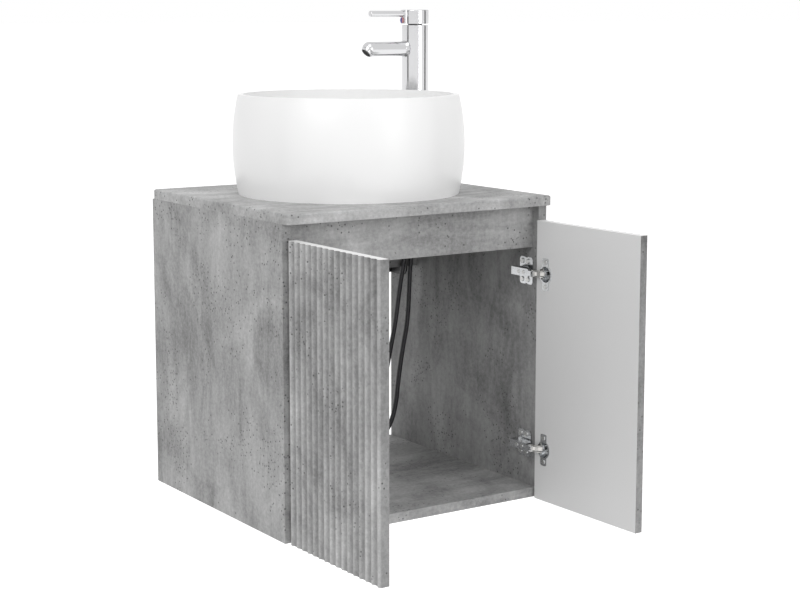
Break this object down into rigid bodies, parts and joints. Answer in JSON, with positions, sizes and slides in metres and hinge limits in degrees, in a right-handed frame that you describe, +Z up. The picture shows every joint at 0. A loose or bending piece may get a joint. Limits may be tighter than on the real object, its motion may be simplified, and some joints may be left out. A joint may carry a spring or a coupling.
{
  "type": "wall-hung vanity unit",
  "caption": "Wall-hung vanity cabinet with fluted doors on concealed hinges, a worktop, a round countertop basin and a tall lever mixer tap.",
  "frame": {"origin": "on the wall plane, in the middle of the four wall fixing holes", "axes": "+X to the right seen from the room, +Y into the wall, +Z up"},
  "size_m": [0.47, 0.6526, 0.7616],
  "materials": {
    "decor": "matt concrete-look laminate",
    "inner_board": "matt light grey laminate",
    "bare_wood": "bare beech",
    "zinc": "nickel plated",
    "steel": "zinc plated",
    "black_steel": "satin black",
    "ceramic": "gloss white glaze",
    "chrome": "polished",
    "rubber": "matt black",
    "pipe": "white",
    "hose": "matt dark sleeve",
    "blue": "gloss blue",
    "red": "gloss red",
    "stem": "bare brass"
  },
  "bodies": {
    "cabinet": {"left_side_panel": "decor", "right_side_panel": "decor", "bottom_panel": "decor", "front_rail": "decor", "rear_rail": "decor", "worktop": "decor", "wood_dowels": "bare_wood", "cam_bolts": "steel", "cam_locks": "zinc", "left_wall_bracket": "black_steel", "right_wall_bracket": "black_steel", "bracket_screws": "steel", "left_upper_hinge_plate": "zinc", "left_upper_hinge_arm": "zinc", "left_lower_hinge_plate": "zinc", "left_lower_hinge_arm": "zinc", "right_upper_hinge_plate": "zinc", "right_upper_hinge_arm": "zinc", "right_lower_hinge_plate": "zinc", "right_lower_hinge_arm": "zinc", "hinge_plate_screws": "steel", "hinge_adjusting_screws": "steel", "basin": "ceramic", "waste_body": "chrome", "waste_seals": "rubber", "waste_nut": "pipe", "waste_tail": "pipe", "tap_body": "chrome", "tap_spout": "chrome", "tap_aerator": "rubber", "tap_seals": "rubber", "tap_clamp_plate": "steel", "tap_stud": "steel", "tap_nut": "stem", "cold_hose": "hose", "hot_hose": "hose", "cold_hose_end": "steel", "hot_hose_end": "steel"},
    "right_outer_links": {"right_upper_outer_link": "zinc", "right_lower_outer_link": "zinc"},
    "left_outer_links": {"left_upper_outer_link": "zinc", "left_lower_outer_link": "zinc"},
    "right_inner_links": {"right_inner_links": "zinc"},
    "left_inner_links": {"left_inner_links": "zinc"},
    "right_door": {"right_door": "decor", "right_upper_hinge_cup": "zinc", "right_lower_hinge_cup": "zinc", "right_cup_pins": "steel", "right_cup_screws": "steel"},
    "left_door": {"left_door": "decor", "left_upper_hinge_cup": "zinc", "left_lower_hinge_cup": "zinc", "left_cup_pins": "steel", "left_cup_screws": "steel"},
    "waste_plug": {"waste_plug": "chrome"},
    "tap_stem": {"tap_stem": "stem"},
    "tap_handle": {"tap_cap": "chrome", "tap_lever": "chrome", "tap_cold_mark": "blue", "tap_hot_mark": "red"}
  },
  "joints": [
    {"name": "right_outer_link_hinge", "type": "hinge", "parent": "cabinet", "child": "right_outer_links", "pos_m": [0.2045, -0.42, -0.138], "axis": [0, 0, 1], "range_deg": [-4.22, 44.15]},
    {"name": "right_door_hinge", "type": "hinge", "parent": "right_outer_links", "child": "right_door", "pos_m": [0.21642, -0.43213, -0.138], "axis": [0, 0, 1], "range_deg": [-135.44, 12.91]},
    {"name": "right_inner_link_hinge", "type": "hinge", "parent": "cabinet", "child": "right_inner_links", "pos_m": [0.205, -0.4235, -0.138], "axis": [0, 0, 1], "range_deg": [-3.49, 36.53]},
    {"name": "left_outer_link_hinge", "type": "hinge", "parent": "cabinet", "child": "left_outer_links", "pos_m": [-0.2045, -0.42, -0.138], "axis": [0, 0, -1], "range_deg": [-5.18, 43.19]},
    {"name": "left_door_hinge", "type": "hinge", "parent": "left_outer_links", "child": "left_door", "pos_m": [-0.21662, -0.43192, -0.138], "axis": [0, 0, -1], "range_deg": [-132.48, 15.87]},
    {"name": "left_inner_link_hinge", "type": "hinge", "parent": "cabinet", "child": "left_inner_links", "pos_m": [-0.205, -0.4235, -0.138], "axis": [0, 0, -1], "range_deg": [-4.29, 35.73]},
    {"name": "waste_plug_slide", "type": "slide", "parent": "cabinet", "child": "waste_plug", "axis": [0, 0, 1], "range_m": [0, 0.008]},
    {"name": "tap_turn", "type": "hinge", "parent": "cabinet", "child": "tap_stem", "pos_m": [0.195, -0.111, 0.383], "axis": [0, 0, 1], "range_deg": [-45, 45]},
    {"name": "tap_lift", "type": "hinge", "parent": "tap_stem", "child": "tap_handle", "pos_m": [0.212, -0.111, 0.3828], "axis": [0, 1, 0], "range_deg": [0, 20]}
  ],
  "couplings": [
    {"joint": "right_outer_link_hinge", "follows": "right_door_hinge", "ratio": -0.32592},
    {"joint": "right_inner_link_hinge", "follows": "right_door_hinge", "ratio": -0.26963},
    {"joint": "left_outer_link_hinge", "follows": "left_door_hinge", "ratio": -0.32592},
    {"joint": "left_inner_link_hinge", "follows": "left_door_hinge", "ratio": -0.26963}
  ]
}
